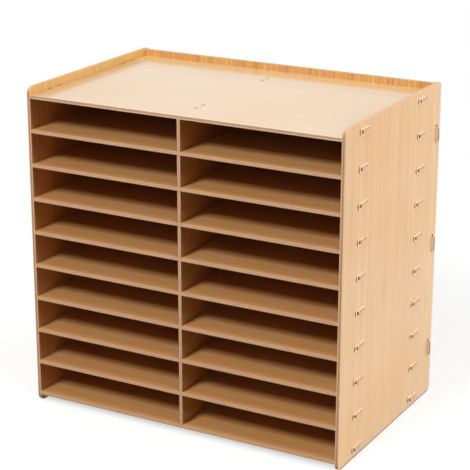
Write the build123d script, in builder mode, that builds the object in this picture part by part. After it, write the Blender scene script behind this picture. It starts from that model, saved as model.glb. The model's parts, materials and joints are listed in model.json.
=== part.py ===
from build123d import *
import os

# File organizer of thin boards that lock together with tabs, slots and crossed halving notches.
# Two columns of fixed compartments stand between two side panels, under a flat top with low lips.
# Frame: +X to the right, +Y to the rear, +Z up, origin on the floor under the middle. Millimetres.

# Thickness of each kind of board
shelf_thickness = 5.0
side_thickness = 5.0
back_thickness = 5.0
divider_thickness = 5.0

# Layout of the cabinet
column_width = 238.5
side_depth = 320.0
shelf_pitch = 50.0
shelf_count = 8
foot_height = 10.0
side_rise = 11.0
back_rise = 10.0
back_inset = 10.0
side_corner_radius = 10.0

# Tabs of the level boards, which stand out through the side panels
shelf_tab_width = 20.0
shelf_tab_reach = 3.0
shelf_tab_front_inset = 59.5
shelf_tab_rear_inset = 52.5
shelf_tab_lead_in = 1.2
shelf_tab_end_gap = 3.5

# Tabs of the divider, which end flush in the top and bottom boards
divider_front_tab_width = 20.0
divider_rear_tab_width = 15.0
divider_tab_front_inset = 58.5
divider_tab_rear_inset = 56.3
divider_tab_end_gap = 3.5

# Tabs of the back panel, which sit low in upright slots of the side panels
back_tab_height = 22.0
back_tab_reach = 3.0
back_tab_lead_in = 1.2
back_tab_end_gap = 4.5
back_tab_drop = 1.7
back_slot_count = 3
lowest_back_slot = 73.0
highest_back_slot = 401.5

# Small relief notches in the shoulders, one on each side of every tab's root
root_relief_width = 3.2
root_relief_depth = 1.6

# Clearances of the joints
slot_fit = 0.2
halving_fit = 0.3
halving_end_gap = 0.5
rear_gap = 0.2
cut_margin = 2.0

# Places worked out from the sizes above
inner_width = 2 * column_width + divider_thickness
inner_side = inner_width / 2
front_face = -side_depth / 2
back_front_face = side_depth / 2 - back_inset - back_thickness
board_rear_edge = back_front_face - rear_gap
board_depth = board_rear_edge - front_face
board_middle = front_face + board_depth / 2
level_bottoms = [foot_height + shelf_pitch * level for level in range(shelf_count + 2)]
bottom_level = level_bottoms[0]
top_level = level_bottoms[-1]
top_surface = top_level + shelf_thickness
side_height = top_surface + side_rise
back_top_edge = top_surface + back_rise
divider_foot = bottom_level + shelf_thickness
shelf_tab_places = [front_face + shelf_tab_front_inset, board_rear_edge - shelf_tab_rear_inset]
divider_tabs = [
    (front_face + divider_tab_front_inset, divider_front_tab_width),
    (board_rear_edge - divider_tab_rear_inset, divider_rear_tab_width),
]
back_slot_step = (highest_back_slot - lowest_back_slot) / (back_slot_count - 1)
back_slot_places = [lowest_back_slot + back_slot_step * slot for slot in range(back_slot_count)]

os.makedirs("parts", exist_ok=True)


def save(part, name):
    """Label a finished piece and write its file."""
    part.label = name
    export_step(part, f"parts/{name}.step")


def root_reliefs(tab_places, tab_width):
    """Places along a shoulder of the relief notches beside the tabs that stand at these places."""
    offset = (tab_width + root_relief_width) / 2
    return [place + end * offset for place in tab_places for end in (-1, 1)]


def tabs_across(tab_places, tab_width, reach, lead_in, sketch):
    """Tabs with chamfered corners on both sides of a board, and the relief notches beside them."""
    with Locations(*[(0, place) for place in tab_places]):
        Rectangle(inner_width + 2 * (side_thickness + reach), tab_width)
    ends = sketch.vertices().group_by(Axis.X)
    chamfer(ends[0] + ends[-1], lead_in)
    reliefs = root_reliefs(tab_places, tab_width)
    with Locations(*[(side * inner_side, place) for side in (-1, 1) for place in reliefs]):
        Rectangle(2 * root_relief_depth, root_relief_width, mode=Mode.SUBTRACT)


def side_panel(name, inner_face, outward):
    """Upright side: a pair of slots for each level board, and upright slots for the back panel."""
    shelf_slot = shelf_tab_width + 2 * shelf_tab_end_gap
    back_slot = back_tab_height + 2 * back_tab_end_gap
    with BuildPart() as panel:
        with BuildSketch(Plane.YZ.offset(inner_face)):
            with Locations((0, side_height / 2)):
                RectangleRounded(side_depth, side_height, side_corner_radius)
            for level in level_bottoms:
                slot_height = level + shelf_thickness / 2
                with Locations(*[(place, slot_height) for place in shelf_tab_places]):
                    SlotOverall(shelf_slot, shelf_thickness + slot_fit, mode=Mode.SUBTRACT)
            slot_line = back_front_face + back_thickness / 2
            with Locations(*[(slot_line, place) for place in back_slot_places]):
                SlotOverall(back_slot, back_thickness + slot_fit, rotation=90, mode=Mode.SUBTRACT)
        extrude(amount=outward * side_thickness)
    save(panel.part, name)


def level_outline(sketch):
    """Outline of a level board with its four tabs, in the open sketch."""
    with Locations((0, board_middle)):
        Rectangle(inner_width, board_depth)
    tabs_across(shelf_tab_places, shelf_tab_width, shelf_tab_reach, shelf_tab_lead_in, sketch)


def end_board(name, level):
    """Top or bottom board, with two round-ended slots that take the divider's tabs."""
    with BuildPart() as board:
        with BuildSketch(Plane.XY.offset(level)) as outline:
            level_outline(outline)
            for place, tab_width in divider_tabs:
                slot_length = tab_width + 2 * divider_tab_end_gap
                with Locations((0, place)):
                    SlotOverall(slot_length, divider_thickness + slot_fit, rotation=90, mode=Mode.SUBTRACT)
        extrude(amount=shelf_thickness)
    save(board.part, name)


def shelf(name, level):
    """Shelf that runs through both columns, with a halving notch from its rear edge to the middle."""
    notch_start = board_middle - halving_end_gap / 2
    notch_end = board_rear_edge + cut_margin
    with BuildPart() as board:
        with BuildSketch(Plane.XY.offset(level)) as outline:
            level_outline(outline)
            with Locations((0, (notch_start + notch_end) / 2)):
                Rectangle(divider_thickness + halving_fit, notch_end - notch_start, mode=Mode.SUBTRACT)
        extrude(amount=shelf_thickness)
    save(board.part, name)


def centre_divider():
    """Upright between the columns: a halving notch for each shelf, open to the front, and end tabs."""
    notch_start = front_face - cut_margin
    notch_end = board_middle + halving_end_gap / 2
    notch_height = shelf_thickness + halving_fit
    body_height = top_level - divider_foot
    with BuildPart() as divider:
        with BuildSketch(Plane.YZ.offset(-divider_thickness / 2)):
            with Locations((board_middle, divider_foot + body_height / 2)):
                Rectangle(board_depth, body_height)
            for place, tab_width in divider_tabs:
                with Locations((place, (bottom_level + top_surface) / 2)):
                    Rectangle(tab_width, top_surface - bottom_level)
                reliefs = root_reliefs([place], tab_width)
                with Locations(*[(relief, z) for relief in reliefs for z in (divider_foot, top_level)]):
                    Rectangle(root_relief_width, 2 * root_relief_depth, mode=Mode.SUBTRACT)
            notch_middle = (notch_start + notch_end) / 2
            with Locations(*[(notch_middle, level + notch_height / 2) for level in level_bottoms[1:-1]]):
                Rectangle(notch_end - notch_start, notch_height, mode=Mode.SUBTRACT)
        extrude(amount=divider_thickness)
    save(divider.part, "centre_divider")


def back_panel():
    """Back between the side panels, up to the rear lip, with tabs that hang in the upright slots."""
    panel_height = back_top_edge - bottom_level
    tab_places = [place - back_tab_drop for place in back_slot_places]
    with BuildPart() as panel:
        with BuildSketch(Plane.XZ.offset(-back_front_face)) as outline:
            with Locations((0, bottom_level + panel_height / 2)):
                Rectangle(inner_width, panel_height)
            tabs_across(tab_places, back_tab_height, back_tab_reach, back_tab_lead_in, outline)
        extrude(amount=-back_thickness)
    save(panel.part, "back_panel")


side_panel("left_side_panel", -inner_side, -1)
side_panel("right_side_panel", inner_side, 1)
end_board("bottom_board", bottom_level)
for number, level in enumerate(level_bottoms[1:-1], start=1):
    shelf(f"shelf_{number}", level)
end_board("top_board", top_level)
centre_divider()
back_panel()
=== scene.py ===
import json
import math

import bpy
import numpy as np
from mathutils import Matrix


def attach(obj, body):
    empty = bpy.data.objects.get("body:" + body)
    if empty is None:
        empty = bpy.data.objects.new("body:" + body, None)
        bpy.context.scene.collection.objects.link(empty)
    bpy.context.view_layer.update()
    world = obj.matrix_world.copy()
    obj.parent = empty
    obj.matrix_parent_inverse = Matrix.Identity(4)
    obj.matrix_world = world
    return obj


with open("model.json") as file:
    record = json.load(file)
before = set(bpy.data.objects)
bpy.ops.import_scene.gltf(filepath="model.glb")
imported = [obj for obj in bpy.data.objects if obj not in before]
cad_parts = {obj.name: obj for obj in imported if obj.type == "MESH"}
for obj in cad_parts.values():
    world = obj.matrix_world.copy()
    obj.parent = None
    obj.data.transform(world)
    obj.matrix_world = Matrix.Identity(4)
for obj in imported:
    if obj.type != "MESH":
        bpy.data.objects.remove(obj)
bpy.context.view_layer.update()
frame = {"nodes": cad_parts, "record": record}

# File organizer of thin wood-look boards: camera, floor and light first, then the finish of each
# kind of board, and last the low rims round the slots. Metres, +X to the right, +Y to the rear,
# +Z up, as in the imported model.

scene = bpy.context.scene
scene.view_settings.view_transform = "Standard"


def linear(red, green, blue):
    # colour as read off a screen, 0 to 255 each, to the linear values that the nodes take
    channels = np.array([red, green, blue]) / 255.0
    low = channels / 12.92
    high = ((channels + 0.055) / 1.055) ** 2.4
    return tuple(float(v) for v in np.where(channels <= 0.04045, low, high)) + (1.0,)


white = (1.0, 1.0, 1.0, 1.0)


# ---- camera
cameraSettings = {
    "place": (1.0860, -1.9724, 0.9923),
    "turnDegrees": (71.793, -0.090, 28.894),
    "lens": 125.013,                 # mm, on a 36 mm sensor
    "sensor": 36.0,
    "clipEnd": 50.0,
}


def makeCamera(settings):
    data = bpy.data.cameras.new("camera")
    data.sensor_width = settings["sensor"]
    data.lens = settings["lens"]
    data.clip_end = settings["clipEnd"]
    camera = bpy.data.objects.new("camera", data)
    camera.location = settings["place"]
    camera.rotation_euler = [math.radians(angle) for angle in settings["turnDegrees"]]
    scene.collection.objects.link(camera)
    scene.camera = camera


makeCamera(cameraSettings)
print("camera set")


# ---- node helpers
def setInput(tree, socket, value):
    # a value that is itself a socket is linked, anything else is typed in
    if isinstance(value, bpy.types.NodeSocket):
        tree.links.new(value, socket)
    elif value is not None:
        socket.default_value = value


def addMath(tree, operation, first, second=None, clamp=False):
    node = tree.nodes.new("ShaderNodeMath")
    node.operation = operation
    node.use_clamp = clamp
    setInput(tree, node.inputs[0], first)
    setInput(tree, node.inputs[1], second)
    return node.outputs[0]


def addProduct(tree, first, *others):
    # numbers or masks multiplied by each other
    for value in others:
        first = addMath(tree, "MULTIPLY", first, value)
    return first


def addVector(tree, operation, first, second=None):
    node = tree.nodes.new("ShaderNodeVectorMath")
    node.operation = operation
    setInput(tree, node.inputs[0], first)
    setInput(tree, node.inputs[1], second)
    return node.outputs["Value"] if operation in ("DOT_PRODUCT", "LENGTH") else node.outputs[0]


def splitVector(tree, value):
    # the x, y and z of a vector, each as a number
    node = tree.nodes.new("ShaderNodeSeparateXYZ")
    setInput(tree, node.inputs[0], value)
    return node.outputs[0], node.outputs[1], node.outputs[2]


def addRange(tree, value, fromLow, fromHigh, toLow=0.0, toHigh=1.0, smooth=False):
    node = tree.nodes.new("ShaderNodeMapRange")
    node.interpolation_type = "SMOOTHSTEP" if smooth else "LINEAR"
    for socket, given in zip(node.inputs, (value, fromLow, fromHigh, toLow, toHigh)):
        setInput(tree, socket, given)
    return node.outputs[0]


def addMix(tree, share, first, second, blend="MIX"):
    # colour between two others; 0, 6 and 7 are the sockets of a colour mix
    node = tree.nodes.new("ShaderNodeMix")
    node.data_type = "RGBA"
    node.blend_type = blend
    for socket, value in zip((0, 6, 7), (share, first, second)):
        setInput(tree, node.inputs[socket], value)
    return node.outputs[2]


def addBlend(tree, share, first, second):
    # plain number between two others
    node = tree.nodes.new("ShaderNodeMix")
    for socket, value in zip((0, 2, 3), (share, first, second)):
        setInput(tree, node.inputs[socket], value)
    return node.outputs[0]


def addNoise(tree, source, scale, detail, roughness, asColour=False):
    node = tree.nodes.new("ShaderNodeTexNoise")
    node.noise_dimensions = "3D"
    setInput(tree, node.inputs["Vector"], source)
    for name, value in (("Scale", scale), ("Detail", detail), ("Roughness", roughness)):
        setInput(tree, node.inputs[name], value)
    return node.outputs[1 if asColour else 0]


def addBump(tree, shader, height, settings):
    bump = tree.nodes.new("ShaderNodeBump")
    bump.inputs["Strength"].default_value = settings["bumpStrength"]
    bump.inputs["Distance"].default_value = settings["bumpDistance"]
    setInput(tree, bump.inputs["Height"], height)
    setInput(tree, shader.inputs["Normal"], bump.outputs[0])


def newGroup(name, inputs, outputs):
    # a node group with named sockets: inputs is a list of (name, socket type, default)
    group = bpy.data.node_groups.new(name, "ShaderNodeTree")
    for label, kind, start in inputs:
        socket = group.interface.new_socket(name=label, in_out="INPUT", socket_type=kind)
        if start is not None:
            socket.default_value = start
    for label, kind in outputs:
        group.interface.new_socket(name=label, in_out="OUTPUT", socket_type=kind)
    return group, group.nodes.new("NodeGroupInput").outputs, group.nodes.new("NodeGroupOutput").inputs


def useGroup(tree, group, **values):
    # places a group in a material; each value's name is the name of the socket that it goes to
    node = tree.nodes.new("ShaderNodeGroup")
    node.node_tree = group
    for name, value in values.items():
        setInput(tree, node.inputs[name], value)
    return node.outputs


number, colour, vector = "NodeSocketFloat", "NodeSocketColor", "NodeSocketVector"


# ---- floor, world and lamps
stageSettings = {
    "floorHalf": 30.0,
    "floorColour": linear(252, 252, 251),
    "glowNear": 0.66,                # part of the floor that shines by itself beside the object
    "glowFar": 1.0,                  # and away from it, so that the background ends up plain white
    "fadeFrom": 0.35,                # distances from the middle between which it changes
    "fadeTo": 1.10,
    "worldLight": 0.10,              # strength of the white surroundings as a light
    "floorBounce": linear(132, 130, 128),    # how the floor lights the object from below
}
lampSettings = [
    # name, place, point that it faces, size, watts, whether the boards mirror it
    ("frontLamp", (-0.57, -3.4, 3.32), (0.0, -0.16, 0.25), (1.1, 1.1), 180.0, False),
    ("upperLamp", (0.90, -0.60, 3.30), (0.10, 0.0, 0.40), (0.8, 0.8), 38.0, True),
    ("rightLamp", (2.69, 0.42, 0.87), (0.0, 0.0, 0.25), (1.2, 1.2), 60.0, False),
    ("rearLamp", (-1.40, 2.50, 1.40), (0.0, 0.0, 0.46), (3.0, 1.6), 4.0, True),
    ("leftLamp", (-2.60, 0.70, 0.70), (0.0, 0.0, 0.25), (1.2, 1.2), 32.0, False),
    ("lowRearLamp", (0.30, 3.00, 0.30), (0.0, 0.15, 0.22), (1.2, 0.3), 30.0, False),
]


def seenDirectly(tree, paths):
    # 1 for what the camera sees, by itself, mirrored or through glass
    seen = addMath(tree, "MAXIMUM", paths["Is Camera Ray"], paths["Is Glossy Ray"])
    return addMath(tree, "MAXIMUM", seen, paths["Is Transmission Ray"])


def makeWorld(settings):
    # white surroundings for the camera and in reflections, a dimmer white as light
    world = bpy.data.worlds.new("studio")
    scene.world = world
    world.use_nodes = True
    tree = world.node_tree
    tree.nodes.clear()
    seen = seenDirectly(tree, tree.nodes.new("ShaderNodeLightPath").outputs)
    background = tree.nodes.new("ShaderNodeBackground")
    background.inputs["Color"].default_value = white
    strength = addRange(tree, seen, 0.0, 1.0, settings["worldLight"], 1.0)
    setInput(tree, background.inputs["Strength"], strength)
    output = tree.nodes.new("ShaderNodeOutputWorld")
    tree.links.new(background.outputs[0], output.inputs["Surface"])


def makeFloor(settings):
    # one flat square under the object, near white and still taking its shadow
    half = settings["floorHalf"]
    corners = np.array([(-half, -half, 0), (half, -half, 0), (half, half, 0), (-half, half, 0)], float)
    mesh = bpy.data.meshes.new("floor")
    mesh.from_pydata(corners.tolist(), [], [(0, 1, 2, 3)])
    floor = bpy.data.objects.new("floor", mesh)
    scene.collection.objects.link(floor)
    material = bpy.data.materials.new("paleFloor")
    material.use_nodes = True
    tree = material.node_tree
    tree.nodes.clear()
    paths = tree.nodes.new("ShaderNodeLightPath").outputs
    seen = seenDirectly(tree, paths)
    plain = tree.nodes.new("ShaderNodeBsdfDiffuse")
    floorTone = addMix(tree, seen, settings["floorBounce"], settings["floorColour"])
    setInput(tree, plain.inputs["Color"], floorTone)
    glow = tree.nodes.new("ShaderNodeEmission")
    glow.inputs["Color"].default_value = white
    blend = tree.nodes.new("ShaderNodeMixShader")
    distance = addVector(tree, "LENGTH", tree.nodes.new("ShaderNodeTexCoord").outputs["Object"])
    share = addRange(tree, distance, settings["fadeFrom"], settings["fadeTo"], settings["glowNear"],
                     settings["glowFar"], smooth=True)
    setInput(tree, blend.inputs["Fac"], addProduct(tree, seen, share))
    tree.links.new(plain.outputs[0], blend.inputs[1])
    tree.links.new(glow.outputs[0], blend.inputs[2])
    # seen from below the floor is clear, so that the underside can be looked at
    clear = tree.nodes.new("ShaderNodeBsdfTransparent")
    sides = tree.nodes.new("ShaderNodeMixShader")
    below = tree.nodes.new("ShaderNodeNewGeometry").outputs["Backfacing"]
    setInput(tree, sides.inputs["Fac"], addProduct(tree, below, paths["Is Camera Ray"]))
    tree.links.new(blend.outputs[0], sides.inputs[1])
    tree.links.new(clear.outputs[0], sides.inputs[2])
    output = tree.nodes.new("ShaderNodeOutputMaterial")
    tree.links.new(sides.outputs[0], output.inputs["Surface"])
    mesh.materials.append(material)


def makeLamp(name, place, target, size, watts, mirrored):
    data = bpy.data.lights.new(name, "AREA")
    data.shape = "RECTANGLE"
    data.size, data.size_y = size
    data.energy = watts
    lamp = bpy.data.objects.new(name, data)
    lamp.location = place
    direction = np.array(target) - np.array(place)
    tilt = math.atan2(math.hypot(direction[0], direction[1]), -direction[2])
    heading = math.atan2(direction[1], direction[0]) - math.pi / 2
    lamp.rotation_euler = (tilt, 0.0, heading)
    lamp.visible_camera = False
    lamp.visible_glossy = mirrored
    scene.collection.objects.link(lamp)


makeWorld(stageSettings)
makeFloor(stageSettings)
for lamp in lampSettings:
    makeLamp(*lamp)
print("floor, world and lamps set")


# ---- shared effects
faceRange = (0.6, 0.8)               # size of the normal along the board's own axis


def buildBoardFaces(spread):
    # mask of a board's two broad faces: size of the object-space normal along the board's own axis
    group, given, out = newGroup("boardFaces", [("axis", vector, (0.0, 0.0, 1.0))], [("broadFace", number)])
    coordinates = group.nodes.new("ShaderNodeTexCoord")
    along = addVector(group, "DOT_PRODUCT", coordinates.outputs["Normal"], given["axis"])
    along = addMath(group, "ABSOLUTE", along)
    setInput(group, out["broadFace"], addRange(group, along, *spread))
    return group


grainSettings = {
    # a noise: its scale, detail and roughness. A range: where the noise starts to show, and where fully.
    "slowNoise": (3.2, 1.0, 0.5),    # bends the grain
    "streakNoise": (1.0, 3.0, 0.62), "streakRange": (0.30, 0.72),
    "bandNoise": (0.17, 2.0, 0.5), "bandRange": (0.32, 0.70),
    "poreNoise": (1.3, 1.0, 0.4), "poreRange": (0.66, 0.78),
    "cloudNoise": (6.0, 2.0, 0.5), "cloudRange": (0.35, 0.68),
    "poreStretch": (4.0, 4.0, 4.0),  # on top of the grain's own
}


def buildWoodGrain(settings):
    # straight grain: noise on coordinates that are stretched along the grain and bent a little by a
    # slow noise. Streaks are fine, bands are broad, pores are the short dark dashes between them, and
    # clouds vary the gloss.
    inputs = [("place", vector, None), ("stretch", vector, (200.0, 3.0, 60.0)), ("bend", number, 0.004)]
    outputs = [("streaks", number), ("bands", number), ("pores", number), ("clouds", number)]
    group, given, out = newGroup("woodGrain", inputs, outputs)
    slow = addNoise(group, given["place"], *settings["slowNoise"], asColour=True)
    scaleShift = group.nodes.new("ShaderNodeVectorMath")
    scaleShift.operation = "SCALE"
    setInput(group, scaleShift.inputs[0], addVector(group, "SUBTRACT", slow, (0.5, 0.5, 0.5)))
    setInput(group, scaleShift.inputs["Scale"], given["bend"])
    bent = addVector(group, "ADD", given["place"], scaleShift.outputs[0])
    grain = addVector(group, "MULTIPLY", bent, given["stretch"])
    dashed = addVector(group, "MULTIPLY", grain, settings["poreStretch"])
    for name, source in (("streak", grain), ("band", grain), ("pore", dashed), ("cloud", given["place"])):
        noise = addNoise(group, source, *settings[name + "Noise"])
        setInput(group, out[name + "s"], addRange(group, noise, *settings[name + "Range"]))
    return group


laminateSettings = {
    "patchNoise": (9.0, 1.0, 0.5),   # slow patches that have yellowed
    "patchRange": (0.35, 0.65),
    "yellow": linear(254, 250, 236),
    "cloudRoughness": 0.10,
    "streakRoughness": 0.06,
    "streakDepth": -0.5,             # against 1 for the depth of a pore
}


def buildLaminate(grainGroup, settings):
    # printed laminate: pale ground, warmer bands, darker streaks and small pores, with a satin skin
    inputs = [
        ("place", vector, None), ("stretch", vector, (200.0, 3.0, 60.0)), ("bend", number, 0.004),
        ("ground", colour, None), ("streak", colour, None), ("band", colour, None), ("pore", colour, None),
        ("streakShare", number, 0.5), ("bandShare", number, 0.4), ("poreShare", number, 0.3),
        ("satin", number, 0.35), ("yellowing", number, 0.5),
    ]
    outputs = [("colour", colour), ("roughness", number), ("height", number)]
    group, given, out = newGroup("laminate", inputs, outputs)
    grain = useGroup(group, grainGroup, place=given["place"], stretch=given["stretch"], bend=given["bend"])
    tone = given["ground"]
    for name in ("band", "streak", "pore"):
        share = addProduct(group, grain[name + "s"], given[name + "Share"])
        tone = addMix(group, share, tone, given[name])
    patches = addNoise(group, given["place"], *settings["patchNoise"])
    patches = addRange(group, patches, *settings["patchRange"], smooth=True)
    yellowed = addProduct(group, patches, given["yellowing"])
    setInput(group, out["colour"], addMix(group, yellowed, tone, settings["yellow"], "MULTIPLY"))
    rough = given["satin"]
    for name in ("cloud", "streak"):
        rougher = addProduct(group, grain[name + "s"], settings[name + "Roughness"])
        rough = addMath(group, "ADD", rough, rougher)
    setInput(group, out["roughness"], rough)
    streakHeight = addProduct(group, grain["streaks"], settings["streakDepth"])
    setInput(group, out["height"], addMath(group, "SUBTRACT", streakHeight, grain["pores"]))
    return group


cutSettings = {
    "fibreNoise": (900.0, 3.0, 0.7),
    "patchNoise": (55.0, 2.0, 0.5),
    "plyRange": (-0.08, 0.10),       # soft change from the pale ply to the brown one, round the split
    "gluePlace": 0.06,               # glue line's middle past the split
    "glueRange": (0.20, 0.06),
    "fibreRange": (0.30, 0.75, 0.86, 1.12),      # how much darker or lighter the noises make it
    "patchRange": (0.3, 0.7, 0.94, 1.05),
    "lineRange": (0.0, 0.02),
    "roughRange": (0.3, 0.7, 0.62, 0.78),
}


def buildCutEdge(settings):
    # cut edge: two plies of fibre board, the first one paler, with a darker glue line between them,
    # and a thin laminate line at each face
    inputs = [
        ("place", vector, None), ("through", number, 0.5), ("split", number, 0.48), ("pale", colour, None),
        ("brown", colour, None), ("line", colour, None), ("lineWidth", number, 0.07),
        ("glue", colour, None), ("glueShare", number, 0.3),
    ]
    outputs = [("colour", colour), ("roughness", number), ("height", number)]
    group, given, out = newGroup("cutEdge", inputs, outputs)
    fibres = addNoise(group, given["place"], *settings["fibreNoise"])
    patches = addNoise(group, given["place"], *settings["patchNoise"])
    pastSplit = addMath(group, "SUBTRACT", given["through"], given["split"])
    pastPly = addRange(group, pastSplit, *settings["plyRange"], smooth=True)
    tone = addMix(group, pastPly, given["pale"], given["brown"])
    fromGlue = addMath(group, "ABSOLUTE", addMath(group, "SUBTRACT", pastSplit, settings["gluePlace"]))
    onGlue = addRange(group, fromGlue, *settings["glueRange"], smooth=True)
    tone = addMix(group, addProduct(group, onGlue, given["glueShare"]), tone, given["glue"])
    speckle = addProduct(group, addRange(group, fibres, *settings["fibreRange"]),
                         addRange(group, patches, *settings["patchRange"]))
    shade = group.nodes.new("ShaderNodeCombineColor")
    for socket in shade.inputs:
        setInput(group, socket, speckle)
    tone = addMix(group, 1.0, tone, shade.outputs[0], "MULTIPLY")
    fromMiddle = addMath(group, "ABSOLUTE", addMath(group, "SUBTRACT", given["through"], 0.5))
    inside = addMath(group, "SUBTRACT", 0.5, given["lineWidth"])
    onLine = addRange(group, addMath(group, "SUBTRACT", fromMiddle, inside), *settings["lineRange"])
    setInput(group, out["colour"], addMix(group, onLine, tone, given["line"]))
    setInput(group, out["roughness"], addRange(group, fibres, *settings["roughRange"]))
    setInput(group, out["height"], fibres)
    return group


borderSettings = {"raggedNoise": (130.0, 2.0, 0.5), "raggedRange": (0.3, 0.7, 0.6, 1.3)}


def buildBorder(settings):
    # mask of the strip along a board's outline: nearness to the nearest side of a box, with ragged edges
    inputs = [
        ("place", vector, None), ("middle", vector, None), ("half", vector, None), ("width", number, 0.001),
    ]
    group, given, out = newGroup("border", inputs, [("strip", number)])
    fromMiddle = addVector(group, "ABSOLUTE", addVector(group, "SUBTRACT", given["place"], given["middle"]))
    room = splitVector(group, addVector(group, "SUBTRACT", given["half"], fromMiddle))
    nearest = addMath(group, "MINIMUM", addMath(group, "MINIMUM", room[0], room[1]), room[2])
    ragged = addNoise(group, given["place"], *settings["raggedNoise"])
    reach = addProduct(group, given["width"], addRange(group, ragged, *settings["raggedRange"]))
    strip = addMath(group, "SUBTRACT", 1.0, addMath(group, "DIVIDE", nearest, reach), clamp=True)
    setInput(group, out["strip"], strip)
    return group


boardFaces = buildBoardFaces(faceRange)
woodGrain = buildWoodGrain(grainSettings)
laminate = buildLaminate(woodGrain, laminateSettings)
cutEdge = buildCutEdge(cutSettings)
border = buildBorder(borderSettings)
print("node groups built")


# ---- sizes that the boards share
layout = {
    "innerSide": 0.241,              # inner faces of the side panels, from the middle
    "thickness": 0.005,
    "front": -0.160,                 # front edges of all boards
    "rear": 0.160,                   # rear edges of the side panels
    "boardRear": 0.1448,             # rear edges of the level boards and the divider
    "top": 0.476,
    "backTop": 0.475,
    "foot": 0.010,                   # under the lowest level board
    "pitch": 0.050,
    "levels": 10,                    # level boards, bottom and top ones included
    "backFront": 0.145,              # front face of the back panel
    "tabPlaces": (-0.1005, 0.0923),  # middles of the level boards' tabs, along y
    "reliefOffset": 0.0116,          # relief notches, from a tab's middle
    "shelfSlotLength": 0.027,        # slots in the side panels, lying ones for the level boards
    "backSlotLength": 0.031,         # and upright ones for the back panel
    "backSlotLine": 0.1475,          # along y
    "backSlotPlaces": (0.073, 0.23725, 0.4015),      # middles, up from the floor
    "slotHalfHeight": 0.0026,        # also the radius of a slot's round ends
    "hair": 0.0001,                  # keeps a level board's lower face from counting as the one below
}


# ---- materials
def tones(*screenTones):
    # the ground, streaks, bands and pores of a laminate, each as read off a screen
    return {name: linear(*tone) for name, tone in zip(("ground", "streak", "band", "pore"), screenTones)}


edgeTones = {
    "pale": linear(208, 174, 144),
    "brown": linear(212, 158, 114),
    "line": linear(226, 188, 154),
    "glue": linear(158, 118, 86),
}
endless = (-10.0, 10.0)              # keeps an axis out of the border mask
between = (-layout["innerSide"], layout["innerSide"])
boardDepth = (layout["front"], layout["boardRear"])
topFace = layout["foot"] + layout["pitch"] * (layout["levels"] - 1) + layout["thickness"]
boardFinish = {
    # axis: across the broad faces. stretch: how often the grain changes along x, y and z.
    # tones: of the broad faces. A side panel also has outerTones for its outer face, its inner tones being
    # warmer as painted bounce light, and lowerTones, a painted shade, for its inner face below the top
    # board.
    # tabEndLine: where through the thickness the line on a tab's end starts, where fully, its tone.
    # outline: where the board's outline runs, from and to along x, y and z.
    "sideBoard": {
        "axis": (1.0, 0.0, 0.0), "stretch": (60.0, 175.0, 2.2), "bend": 0.006,
        "streakShare": 1.0, "bandShare": 0.55, "poreShare": 0.50, "satin": 0.40, "yellowing": 1.0,
        "tones": tones((235, 192, 119), (214, 166, 94), (227, 179, 104), (175, 121, 65)),
        "outerTones": tones((221, 178, 124), (204, 156, 101), (215, 167, 110), (167, 117, 73)),
        "lowerTones": tones((204, 145, 88), (185, 124, 70), (196, 134, 77), (150, 92, 47)),
        "edge": {"pale": linear(206, 165, 134), "brown": linear(202, 153, 113)}, "glueShare": 0.75,
        "upward": linear(211, 175, 137),
        "outline": (endless, (layout["front"], layout["rear"]), (0.0, layout["top"])),
    },
    "shelfBoard": {
        "axis": (0.0, 0.0, 1.0), "stretch": (2.2, 150.0, 90.0), "bend": 0.006,
        "streakShare": 0.45, "bandShare": 0.45, "poreShare": 0.30, "satin": 0.40, "yellowing": 0.4,
        "tones": tones((208, 158, 104), (190, 136, 83), (201, 147, 91), (154, 102, 57)),
        "edge": {}, "glueShare": 0.25,
        "arrisShade": linear(120, 84, 58), "upward": linear(211, 175, 137),
        "tabSkin": linear(226, 192, 164), "tabEnd": linear(206, 174, 148),
        "tabEndLine": (0.84, 0.90, linear(140, 100, 70)),
        "outline": (between, boardDepth, endless),
    },
    "topBoard": {
        "axis": (0.0, 0.0, 1.0), "stretch": (2.2, 150.0, 90.0), "bend": 0.006,
        "streakShare": 0.30, "bandShare": 0.35, "poreShare": 0.20, "satin": 0.32, "yellowing": 0.4,
        "tones": tones((198, 161, 113), (183, 141, 94), (193, 152, 102), (153, 108, 66)),
        "edge": {"pale": linear(211, 178, 148), "brown": linear(206, 166, 130)}, "glueShare": 0.60,
        "upward": linear(211, 175, 137),
        "tabSkin": linear(222, 188, 160), "tabEnd": linear(198, 166, 140),
        "tabEndLine": (0.84, 0.90, linear(140, 100, 70)),
        "outline": (between, boardDepth, endless),
    },
    "dividerBoard": {
        "axis": (1.0, 0.0, 0.0), "stretch": (60.0, 150.0, 2.2), "bend": 0.006,
        "streakShare": 0.45, "bandShare": 0.45, "poreShare": 0.30, "satin": 0.40, "yellowing": 0.4,
        # darker than the shelves' tones, a painted shade in the compartments
        "tones": tones((184, 132, 76), (168, 113, 59), (178, 122, 66), (136, 84, 40)),
        "edge": {}, "glueShare": 0.35,
        "arrisShade": linear(52, 30, 18), "upward": linear(214, 190, 166),
        "outline": (endless, boardDepth, (layout["foot"], topFace)),
    },
    "backBoard": {
        "axis": (0.0, 1.0, 0.0), "stretch": (230.0, 60.0, 2.2), "bend": 0.006,
        "streakShare": 0.95, "bandShare": 0.60, "poreShare": 0.50, "satin": 0.40, "yellowing": 0.4,
        "tones": tones((226, 179, 113), (178, 120, 62), (206, 149, 86), (145, 89, 46)),
        "edge": {}, "glueShare": 0.40,
        "upward": linear(198, 165, 122),
        "tabSkin": linear(255, 244, 230), "tabEnd": linear(66, 38, 16),
        "tabEndLine": (0.26, 0.20, linear(250, 222, 196)),
        "outline": (between, endless, (layout["foot"], layout["backTop"])),
    },
}
surfaceSettings = {
    "coatWeight": 0.80, "coatRoughness": 0.16, "ior": 1.5,
    "bumpStrength": 0.25, "bumpDistance": 0.0002,
}
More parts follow.
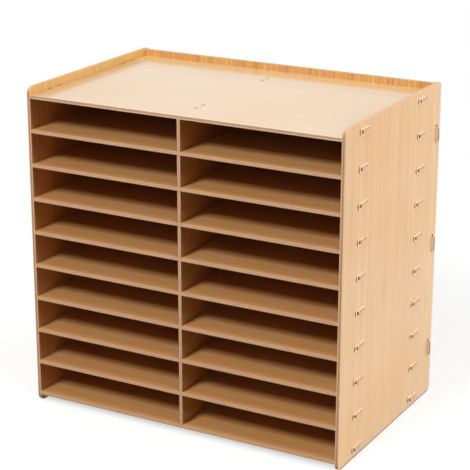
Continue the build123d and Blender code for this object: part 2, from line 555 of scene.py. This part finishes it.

# a pale strip, a painted highlight and a painted shade that all boards have; each board's own stands beside
# the code that uses it
outlineStrip = {"width": 0.0012, "share": 0.45}
upwardRange = (0.4, 0.9, 0.0, 0.85)  # upward part of the normal, and how pale an upward edge is painted, as a highlight
arrisShadeRange = (0.24, 0.06, 0.0, 0.75)        # part of the thickness beside the arris with a painted shade


def addPaintedLightLayer(tree, tone, value, layer):
    # one layer of painted light and shade. It starts at the layer's first value, grows smoothly to its
    # share at the second, and has a tone of its own.
    start, full, share, layerTone = layer
    return addMix(tree, addRange(tree, value, start, full, 0.0, share, smooth=True), tone, layerTone)


def throughBoard(tree, place, name):
    # place of a point through its board's thickness, 0 at one broad face and 1 at the other
    x, y, z = splitVector(tree, place)
    if name == "sideBoard":
        depth = addMath(tree, "SUBTRACT", addMath(tree, "ABSOLUTE", x), layout["innerSide"])
    elif name == "dividerBoard":
        depth = addMath(tree, "ADD", x, layout["thickness"] / 2)
    elif name == "backBoard":
        depth = addMath(tree, "SUBTRACT", y, layout["backFront"])
    else:
        above = addMath(tree, "SUBTRACT", z, layout["foot"] - layout["hair"])
        above = addMath(tree, "MODULO", above, layout["pitch"])
        depth = addMath(tree, "SUBTRACT", above, layout["hair"])
    return addMath(tree, "DIVIDE", depth, layout["thickness"])


sidePaintedLightAndStreaks = {
    "outerFace": (0.2434, 0.2436),   # across this the inner face's tones change to the outer's
    "underTop": (0.4626, 0.4624),    # below the top board the inner face is deeper in tone, a painted shade
    "streakHeights": (0.12, 0.42),   # the streaks are fainter towards the foot
    "footStreaks": 0.50,
    # painted highlight along the rear arris and painted contact shadow along the foot
    "rearArris": (0.1530, 0.1590, 0.55, linear(232, 208, 178)),
    "foot": (0.0032, 0.0014, 0.80, linear(92, 76, 64)),
    "behindBoard": (0.99, 0.96),     # heights in a level board's thickness, seen in its relief notches
    "behindRear": (0.1449, 0.1447),  # the level boards end here
    "behindTone": linear(58, 34, 18),
    "slotWall": (0.0042, 0.0048),    # a cut edge this far inside the outline is a slot's wall
    "slotTone": linear(98, 64, 40),
}


def addSidePaintedLight(tree, tone, place, y, z, outer):
    # the rear arris has a painted highlight, paler, and the foot a painted contact shadow, dark
    tone = addPaintedLightLayer(tree, tone, y, sidePaintedLightAndStreaks["rearArris"])
    tone = addPaintedLightLayer(tree, tone, z, sidePaintedLightAndStreaks["foot"])
    # behind the ends of the level boards the inner face has a painted shade, dark, which shows in the small
    # reliefs
    level = throughBoard(tree, place, "shelfBoard")
    hidden = addProduct(tree, addRange(tree, level, *sidePaintedLightAndStreaks["behindBoard"]),
                        addRange(tree, y, *sidePaintedLightAndStreaks["behindRear"]), addMath(tree, "SUBTRACT", 1.0, outer))
    return addMix(tree, hidden, tone, sidePaintedLightAndStreaks["behindTone"])


def slotWalls(tree, place, middle, half):
    # mask of the slots' walls, which lie inside the outline and have a painted shade, dark
    inwards = addVector(tree, "ABSOLUTE", addVector(tree, "SUBTRACT", place, middle))
    room = splitVector(tree, addVector(tree, "SUBTRACT", half, inwards))
    return addRange(tree, addMath(tree, "MINIMUM", room[1], room[2]), *sidePaintedLightAndStreaks["slotWall"])


topPaintedLightAndJoint = {
    "besideLip": (0.226, 0.238, 0.30, linear(168, 118, 60)),
    "beforeLip": (0.090, 0.130, 0.75, linear(226, 186, 126)),
    "frontArris": (-0.1535, -0.1590, 0.40, linear(246, 214, 168)),
    "onBoard": (0.2414, 0.2412),     # not on the tabs, past the side panels' inner faces
    "joint": (0.2398, 0.2407, 0.0, 0.7),
    "jointTone": linear(140, 92, 50),
    "reliefShadeLength": (0.0040, 0.0030),  # either way from a relief notch's middle
    "reliefShadeDepth": (0.2374, 0.2384),
    "reliefShadeTone": linear(70, 38, 16),
}


def addTopPaintedLightAndJoint(tree, tone, across, y):
    # deeper in tone along the side lips and paler before the rear lip, painted reflections of the lips,
    # and the front arris has a painted highlight
    tone = addPaintedLightLayer(tree, tone, across, topPaintedLightAndJoint["besideLip"])
    tone = addPaintedLightLayer(tree, tone, y, topPaintedLightAndJoint["beforeLip"])
    tone = addPaintedLightLayer(tree, tone, y, topPaintedLightAndJoint["frontArris"])
    # a dark line runs where the board meets the side panels
    onBoard = addRange(tree, across, *topPaintedLightAndJoint["onBoard"])
    joint = addProduct(tree, addRange(tree, across, *topPaintedLightAndJoint["joint"]), onBoard)
    tone = addMix(tree, joint, tone, topPaintedLightAndJoint["jointTone"])
    # a painted shade, dark, lies on the edge round the reliefs beside the tabs
    toTabs = [addMath(tree, "ABSOLUTE", addMath(tree, "SUBTRACT", y, tab)) for tab in layout["tabPlaces"]]
    toRelief = addMath(tree, "SUBTRACT", addMath(tree, "MINIMUM", *toTabs), layout["reliefOffset"])
    reliefShade = addRange(tree, addMath(tree, "ABSOLUTE", toRelief), *topPaintedLightAndJoint["reliefShadeLength"])
    reliefShade = addProduct(tree, reliefShade, addRange(tree, across, *topPaintedLightAndJoint["reliefShadeDepth"]), onBoard)
    return addMix(tree, reliefShade, tone, topPaintedLightAndJoint["reliefShadeTone"])


tabPaintedLightAndEnd = {
    "outside": (0.2460, 0.2462),     # past the side panels' outer faces
    "skinShare": 0.95,
    "edgeShare": 0.8,
    "edgeTone": linear(112, 76, 48),
    "cornerTurn": (0.45, 0.60, 0.0, 0.85),   # sideways part of the normal on the chamfered corners
    "cornerTone": linear(226, 190, 158),
    "endTurn": (0.80, 0.95, 0.0, 0.85),      # and on the tab's end
}


def addTabPaintedLightAndEnd(tree, skinTone, edgeTone, across, turnedOut, through, finish):
    # what stands out of the side panels has a painted highlight on its faces and chamfered corners and a
    # painted shade, darker than the brown core, on its other cut edges, and a tab's end has a tone and a
    # line of its own
    outside = addRange(tree, across, *tabPaintedLightAndEnd["outside"])
    skinTone = addMix(tree, addProduct(tree, outside, tabPaintedLightAndEnd["skinShare"]), skinTone, finish["tabSkin"])
    edgeTone = addMix(tree, addProduct(tree, outside, tabPaintedLightAndEnd["edgeShare"]), edgeTone, tabPaintedLightAndEnd["edgeTone"])
    corner = addProduct(tree, outside, addRange(tree, turnedOut, *tabPaintedLightAndEnd["cornerTurn"]))
    edgeTone = addMix(tree, corner, edgeTone, tabPaintedLightAndEnd["cornerTone"])
    lineStart, lineFull, lineTone = finish["tabEndLine"]
    tabEnd = addMix(tree, addRange(tree, through, lineStart, lineFull), finish["tabEnd"], lineTone)
    return skinTone, addMix(tree, addRange(tree, turnedOut, *tabPaintedLightAndEnd["endTurn"]), edgeTone, tabEnd)


def makeBoard(name, finish):
    # laminate on the broad faces, fibre core on every cut edge, and a paler strip along the outline
    material = bpy.data.materials.new(name)
    material.use_nodes = True
    tree = material.node_tree
    shader = tree.nodes["Principled BSDF"]
    coordinates = tree.nodes.new("ShaderNodeTexCoord").outputs
    place = coordinates["Object"]
    x, y, z = splitVector(tree, place)
    across = addMath(tree, "ABSOLUTE", x)
    turned = splitVector(tree, coordinates["Normal"])    # which way a face points
    faces = useGroup(tree, boardFaces, axis=finish["axis"])["broadFace"]
    through = throughBoard(tree, place, name)

    skinTones = dict(finish["tones"])
    streakShare = finish["streakShare"]
    # on a side panel the inner faces' warmer tones are painted bounce light, and those below the top board
    # a painted shade
    if name == "sideBoard":
        below = addRange(tree, z, *sidePaintedLightAndStreaks["underTop"])
        outer = addRange(tree, across, *sidePaintedLightAndStreaks["outerFace"])
        for tone in skinTones:
            inner = addMix(tree, below, finish["tones"][tone], finish["lowerTones"][tone])
            skinTones[tone] = addMix(tree, outer, inner, finish["outerTones"][tone])
        streakShare = addRange(tree, z, *sidePaintedLightAndStreaks["streakHeights"], sidePaintedLightAndStreaks["footStreaks"], streakShare)
    skin = useGroup(tree, laminate, place=place, stretch=finish["stretch"], bend=finish["bend"],
                    streakShare=streakShare, bandShare=finish["bandShare"], poreShare=finish["poreShare"],
                    satin=finish["satin"], yellowing=finish["yellowing"], **skinTones)
    edge = useGroup(tree, cutEdge, place=place, through=through, glueShare=finish["glueShare"],
                    **{**edgeTones, **finish["edge"]})
    middle = tuple((low + high) / 2 for low, high in finish["outline"])
    half = tuple((high - low) / 2 for low, high in finish["outline"])
    paleStrip = useGroup(tree, border, place=place, middle=middle, half=half, width=outlineStrip["width"])
    paleStrip = addProduct(tree, paleStrip["strip"], outlineStrip["share"])
    skinTone = addMix(tree, paleStrip, skin["colour"], edgeTones["line"])
    edgeTone = edge["colour"]

    if name == "sideBoard":
        skinTone = addSidePaintedLight(tree, skinTone, place, y, z, outer)
    if name == "topBoard":
        skinTone = addTopPaintedLightAndJoint(tree, skinTone, across, y)
    if "arrisShade" in finish:
        # one arris, the lower one of a level board and the left one of the divider, has a painted shade
        shadedArris = addRange(tree, through, *arrisShadeRange, smooth=True)
        edgeTone = addMix(tree, shadedArris, edgeTone, finish["arrisShade"])
    if "tabEnd" in finish:
        turnedOut = addMath(tree, "ABSOLUTE", turned[0])
        skinTone, edgeTone = addTabPaintedLightAndEnd(tree, skinTone, edgeTone, across, turnedOut, through, finish)
    # upward edges have a painted highlight, paler
    edgeTone = addMix(tree, addRange(tree, turned[2], *upwardRange), edgeTone, finish["upward"])
    if name == "sideBoard":
        edgeTone = addMix(tree, slotWalls(tree, place, middle, half), edgeTone, sidePaintedLightAndStreaks["slotTone"])

    setInput(tree, shader.inputs["Base Color"], addMix(tree, faces, edgeTone, skinTone))
    setInput(tree, shader.inputs["Roughness"], addBlend(tree, faces, edge["roughness"], skin["roughness"]))
    addBump(tree, shader, addBlend(tree, faces, edge["height"], skin["height"]), surfaceSettings)
    setInput(tree, shader.inputs["Coat Weight"], addProduct(tree, faces, surfaceSettings["coatWeight"]))
    shader.inputs["Coat Roughness"].default_value = surfaceSettings["coatRoughness"]
    shader.inputs["Coat IOR"].default_value = surfaceSettings["ior"]
    shader.inputs["IOR"].default_value = surfaceSettings["ior"]
    return material


slotMaterial = {
    "side_board": "sideBoard", "shelf_board": "shelfBoard", "top_board": "topBoard",
    "divider_board": "dividerBoard", "back_board": "backBoard",
}
materials = {name: makeBoard(name, finish) for name, finish in boardFinish.items()}
for part in frame["record"]["subparts"]:
    board = frame["nodes"][part["node"]]
    material = materials[slotMaterial[part["material_slot"]]]
    if board.material_slots:
        board.material_slots[0].material = material
    else:
        board.data.materials.append(material)


# ---- rims round the slots of the side panels
rimSettings = {
    "width": 0.0021,                 # along a lying slot
    "height": 0.0013,
    "openWidth": 0.0043,             # at the slot's open end, in front of the tab
    "openInwards": 0.0014,           # how far the rim reaches there over the gap
    "uprightWidth": 0.0009,          # the same four for an upright slot, whose open end is the top
    "uprightHeight": 0.0004,
    "uprightOpenWidth": 0.0030,
    "uprightOpenInwards": 0.0022,
    "uprightFootInwards": 0.0026,    # closes the slot's last stretch below the tab
    "openSpread": 0.7,               # less than 1 keeps the rim wide further round the open end
    "flatness": 0.6,                 # 1 for a half ellipse, less for a flatter top
    "fade": 0.85,                    # share of width and height that is gone at the other end
    "sink": 0.0004,                  # how deep a rim stands in the panel
    "endSteps": 12,                  # points round each half circle
    "profileSteps": 9,
}
rimFinish = {
    "streakShare": 0.35, "bandShare": 0.3, "poreShare": 0.15, "satin": 0.40, "yellowing": 0.5,
    "paleShare": 0.70, "pale": linear(244, 212, 182),
    "forwardTurn": (-0.40, -0.80, 0.0, 0.9),         # forward part of the normal
    "forward": linear(112, 74, 48),
    "bumpStrength": 0.2, "bumpDistance": 0.0002,
}


def makeRimMaterial(finish):
    # the rims have the tone of the panel's outer face, a little paler as a painted highlight, without a
    # clear grain
    material = bpy.data.materials.new("rim")
    material.use_nodes = True
    tree = material.node_tree
    shader = tree.nodes["Principled BSDF"]
    panel = boardFinish["sideBoard"]
    coordinates = tree.nodes.new("ShaderNodeTexCoord").outputs
    skin = useGroup(tree, laminate, place=coordinates["Object"], stretch=panel["stretch"],
                    bend=panel["bend"], streakShare=finish["streakShare"], bandShare=finish["bandShare"],
                    poreShare=finish["poreShare"], satin=finish["satin"], yellowing=finish["yellowing"],
                    **panel["outerTones"])
    tone = addMix(tree, finish["paleShare"], skin["colour"], finish["pale"])
    # the flank that faces the front has a painted shade, brown
    turned = splitVector(tree, coordinates["Normal"])
    forward = addRange(tree, turned[1], *finish["forwardTurn"])
    setInput(tree, shader.inputs["Base Color"], addMix(tree, forward, tone, finish["forward"]))
    setInput(tree, shader.inputs["Roughness"], skin["roughness"])
    addBump(tree, shader, skin["height"], finish)
    return material


def slotMiddles():
    # middle (y, z), half length between the round ends, and 1 where the slot stands upright
    levels = layout["foot"] + layout["pitch"] * np.arange(layout["levels"]) + layout["thickness"] / 2
    y, z = np.meshgrid(layout["tabPlaces"], levels)
    lying = np.stack([y.ravel(), z.ravel()], axis=1)
    places = np.array(layout["backSlotPlaces"])
    standing = np.stack([np.full(len(places), layout["backSlotLine"]), places], axis=1)
    lengths = np.concatenate([
        np.full(len(lying), layout["shelfSlotLength"]), np.full(len(standing), layout["backSlotLength"]),
    ])
    upright = np.concatenate([np.zeros(len(lying)), np.ones(len(standing))])
    return np.concatenate([lying, standing]), lengths / 2 - layout["slotHalfHeight"], upright


def makeRims(name, side, settings, material):
    # A low profile carried round each slot. The angle t runs round the slot's round-ended outline, and
    # the angle u goes over the rim from its inner foot to its outer one. From the middle of the end's
    # half circle a point lies at: slot's half height - reach inwards + width * (1 - cos u) / 2. It
    # stands off the panel by: height * (sin u) ** flatness. A rim is widest at its slot's open end, in
    # front of a lying tab and above an upright one, and runs out towards the other end. There an
    # upright slot's rim keeps a flat strip, which closes the slot below the tab.
    middles, half, upright = slotMiddles()
    turn = upright[:, None, None]    # 0 for a lying slot, 1 for an upright one
    steps = 2 * settings["endSteps"]
    t = ((np.arange(steps) + 0.5) * 2 * math.pi / steps - math.pi / 2)[None, :, None]
    u = np.linspace(0.0, math.pi, settings["profileSteps"])
    towardsOpen = np.where(turn > 0.5, np.cos(t), -np.cos(t))
    atOpen = np.clip(towardsOpen, 0.0, 1.0) ** settings["openSpread"]
    remaining = 1.0 - settings["fade"] * np.clip(-towardsOpen, 0.0, 1.0)

    def either(lying, standing):
        # the setting for a lying slot or the one for an upright slot
        return settings[lying] * (1 - turn) + settings[standing] * turn
    sideWidth = either("width", "uprightWidth")
    openWidth = either("openWidth", "uprightOpenWidth")
    footStrip = settings["uprightFootInwards"] * turn * np.where(towardsOpen < 0, 1.0, 0.0)
    inwards = either("openInwards", "uprightOpenInwards") * atOpen + footStrip
    width = (sideWidth + (openWidth - sideWidth) * atOpen) * remaining + footStrip
    out = layout["slotHalfHeight"] - inwards + width * (1 - np.cos(u)) / 2
    profile = np.clip(np.sin(u), 0.0, 1.0) ** settings["flatness"]
    rise = either("height", "uprightHeight") * remaining * profile
    out = np.concatenate([out, out[:, :, [-1, 0]]], axis=2)  # two more points close the foot of the rim
    rise = np.concatenate([rise, np.full(rise.shape[:2] + (2,), -settings["sink"])], axis=2)
    along = np.where(np.cos(t) >= 0, 1.0, -1.0) * half[:, None, None] + np.cos(t) * out
    across = np.sin(t) * out
    y = middles[:, 0, None, None] + along * (1 - turn) - across * turn
    z = middles[:, 1, None, None] + across * (1 - turn) + along * turn
    x = side * (layout["innerSide"] + layout["thickness"] + rise)
    points = np.stack([x, y, z], axis=-1).reshape(-1, 3)
    rings, row, column = np.indices(y.shape)
    nextRow = (row + 1) % y.shape[1]
    nextColumn = (column + 1) % y.shape[2]

    def index(r, c):
        return (rings * y.shape[1] + r) * y.shape[2] + c
    corners = ((row, column), (nextRow, column), (nextRow, nextColumn), (row, nextColumn))
    faces = np.stack([index(r, c) for r, c in corners], axis=-1).reshape(-1, 4)
    if side < 0:
        faces = faces[:, ::-1]       # keeps the faces outwards on the left panel
    mesh = bpy.data.meshes.new(name)
    mesh.from_pydata(points.tolist(), [], faces.tolist())
    mesh.polygons.foreach_set("use_smooth", np.ones(len(faces), dtype=bool))
    mesh.update()
    mesh.materials.append(material)
    rims = bpy.data.objects.new(name, mesh)
    scene.collection.objects.link(rims)
    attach(rims, "root")


rimMaterial = makeRimMaterial(rimFinish)
makeRims("left_slot_rims", -1, rimSettings, rimMaterial)
makeRims("right_slot_rims", 1, rimSettings, rimMaterial)
print("slot rims made")
